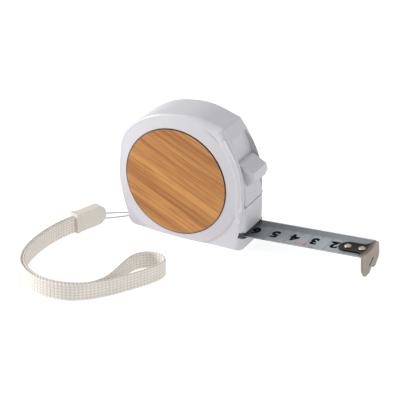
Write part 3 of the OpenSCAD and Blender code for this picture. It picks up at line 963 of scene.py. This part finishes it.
class Print:
    """Collects flat shapes, drawn in u and v, as thin raised print on the blade."""

    def __init__(self):
        self.points = []
        self.faces = []

    def add(self, shape, rings):
        """rings are closed outlines, as indices into shape, of faces seen from above."""
        start, n = len(self.points), len(shape)
        self.points += [on_cup(u, v, PRINT_LOW) for u, v in shape]
        self.points += [on_cup(u, v, PRINT_HIGH) for u, v in shape]
        edges = {}
        for ring in rings:
            self.faces.append(tuple(start + n + i for i in ring))
            self.faces.append(tuple(start + i for i in reversed(ring)))
            for a, b in zip(ring, ring[1:] + ring[:1]):
                edges[(a, b)] = edges.get((a, b), 0) + 1
        for a, b in edges:
            if (b, a) not in edges:
                self.faces.append((start + a, start + b, start + n + b, start + n + a))

    def bar(self, u0, u1, v0, v1):
        """A rectangle, in steps across the blade that follow its hollow."""
        steps = max(1, round(abs(v1 - v0) / 0.8))
        shape = [(u, v0 + (v1 - v0) * k / steps) for k in range(steps + 1) for u in (u0, u1)]
        self.add(shape, [[2 * k, 2 * k + 1, 2 * k + 3, 2 * k + 2] for k in range(steps)])

    def figure(self, text, u, v):
        """A figure that stands towards -v, its middle at u and v."""
        curve = bpy.data.curves.new("glyph", "FONT")
        curve.body, curve.size = text, 1.0
        curve.offset = DIGIT_BOLD
        curve.resolution_u = 6
        source = bpy.data.objects.new("glyph", curve)
        mesh = bpy.data.meshes.new_from_object(source)
        bm = bmesh.new()
        bm.from_mesh(mesh)
        bmesh.ops.remove_doubles(bm, verts=bm.verts, dist=1e-5)
        xs, ys = [p.co.x for p in bm.verts], [p.co.y for p in bm.verts]
        scale = DIGIT_HEIGHT / (max(ys) - min(ys))
        middle = ((max(xs) + min(xs)) / 2, (max(ys) + min(ys)) / 2)
        for k in range(1, DIGIT_CUTS):
            cut = min(ys) + (max(ys) - min(ys)) * k / DIGIT_CUTS
            bmesh.ops.bisect_plane(bm, geom=bm.verts[:] + bm.edges[:] + bm.faces[:],
                                   plane_co=(0, cut, 0), plane_no=(0, 1, 0))
        bm.verts.index_update()
        shape = [(u - (p.co.x - middle[0]) * scale * DIGIT_NARROW,
                  v - (p.co.y - middle[1]) * scale) for p in bm.verts]
        self.add(shape, [[p.index for p in face.verts] for face in bm.faces])
        bm.free()
        bpy.data.objects.remove(source)
        bpy.data.curves.remove(curve)
        bpy.data.meshes.remove(mesh)

    def finish(self, name, slot):
        piece = mesh_object(name, self.points, self.faces)
        tidy_normals(piece)
        paint(piece, slot, "blade")
        return piece


FAR_EDGE = BLADE_WIDTH / 2 - 0.35
NEAR_EDGE = -FAR_EDGE
TICK = 0.3                  # width of a millimetre's tick,
TICK_LENGTH = 3.4
TICK_LENGTH_5 = 4.8         # and the length of every fifth
CM_LINE = 0.12              # width of the line that goes on across at each centimetre,
CM_LINE_END = 2.0           # and where it stops, from the near edge
DIGIT_V = 0.4
DIGIT_PAST_LINE = 2.8       # a figure stands this far on the hook's side of its own line
DIGITS = range(2, 7)        # centimetres whose figures show between mouth and hook
NEAR_MARKS = [(10.2, 11.6, 1.1), (33.6, 34.1, 1.8), (35.0, 35.5, 1.8)]  # from u, to u, length
FRAME_U = (25.4, 32.4)      # the red mark's frame,
FRAME_V = (-6.8, -3.2)
FRAME_LINE = 0.28           # the width of its lines,
FRAME_BARS = [(26.6, 30.8, -5.3, -4.9), (30.4, 30.9, -6.0, -4.2)]   # and what is in it


def add_scale():
    """Ticks, centimetre lines, figures and the small marks at the near edge."""
    black = Print()
    for mm in range(1, int(BLADE_OUT)):
        u = BLADE_OUT - mm
        end = FAR_EDGE - (TICK_LENGTH_5 if mm % 5 == 0 else TICK_LENGTH)
        black.bar(u - TICK / 2, u + TICK / 2, FAR_EDGE, end)
        if mm % 10 == 0:
            black.bar(u - CM_LINE / 2, u + CM_LINE / 2, end, NEAR_EDGE + CM_LINE_END)
    for cm in DIGITS:
        black.figure(str(cm), BLADE_OUT - 10 * cm + DIGIT_PAST_LINE, DIGIT_V)
    for u0, u1, length in NEAR_MARKS:
        black.bar(u0, u1, NEAR_EDGE + length, NEAR_EDGE)
    black.finish("blade_print_black", "ink")


def add_red_mark():
    red = Print()
    (u0, u1), (v0, v1), w = FRAME_U, FRAME_V, FRAME_LINE
    red.bar(u0, u1, v0, v0 + w)
    red.bar(u0, u1, v1 - w, v1)
    red.bar(u0, u0 + w, v0 + w, v1 - w)
    red.bar(u1 - w, u1, v0 + w, v1 - w)
    for sides in FRAME_BARS:
        red.bar(*sides)
    red.finish("blade_print_red", "red_ink")


add_scale()
add_red_mark()

# ---------- floor and light ----------


FLOOR_HALF = 4.0            # metres, as are the lights' places and sizes
FLOOR_LEVEL = -0.00005      # just below the object, so that no two faces coincide
LIGHT_AIM = (0, -0.02, 0.03)
LIGHTS = [                  # name, place, size and power in watts
    ("key", (-0.9, -0.4, 0.44), 0.4, 12),
    ("top", (0.0, 0.3, 1.2), 0.8, 1.2),
    ("front", (1.1, -0.1, 0.6), 0.6, 3.5),
]


def add_floor():
    h = FLOOR_HALF
    floor = mesh_object("floor", [(-h, -h, 0), (h, -h, 0), (h, h, 0), (-h, h, 0)],
                        [(0, 1, 2, 3)], 1.0)
    floor.location.z = FLOOR_LEVEL
    material, _, _, shader = new_material("floor")
    shader.inputs["Base Color"].default_value = (0.4, 0.4, 0.4, 1)
    shader.inputs["Roughness"].default_value = 0.7
    shader.inputs["Specular IOR Level"].default_value = 0.1
    shader.inputs["Emission Color"].default_value = (1, 1, 1, 1)
    shader.inputs["Emission Strength"].default_value = 0.8
    floor.data.materials.append(material)


def add_area(name, place, size, power):
    data = bpy.data.lights.new(name, "AREA")
    data.shape = "SQUARE"
    data.size = size
    data.energy = power
    light = bpy.data.objects.new(name, data)
    light.location = place
    aim = Vector(LIGHT_AIM) - Vector(place)
    light.rotation_euler = aim.to_track_quat("-Z", "Y").to_euler()
    SCENE.collection.objects.link(light)


def add_light():
    world = bpy.data.worlds.new("world")
    SCENE.world = world
    world.use_nodes = True
    background = world.node_tree.nodes["Background"]
    background.inputs["Color"].default_value = (1, 1, 1, 1)
    background.inputs["Strength"].default_value = 0.55
    for light in LIGHTS:
        add_area(*light)
    SCENE.view_settings.view_transform = "Standard"


add_floor()
add_light()
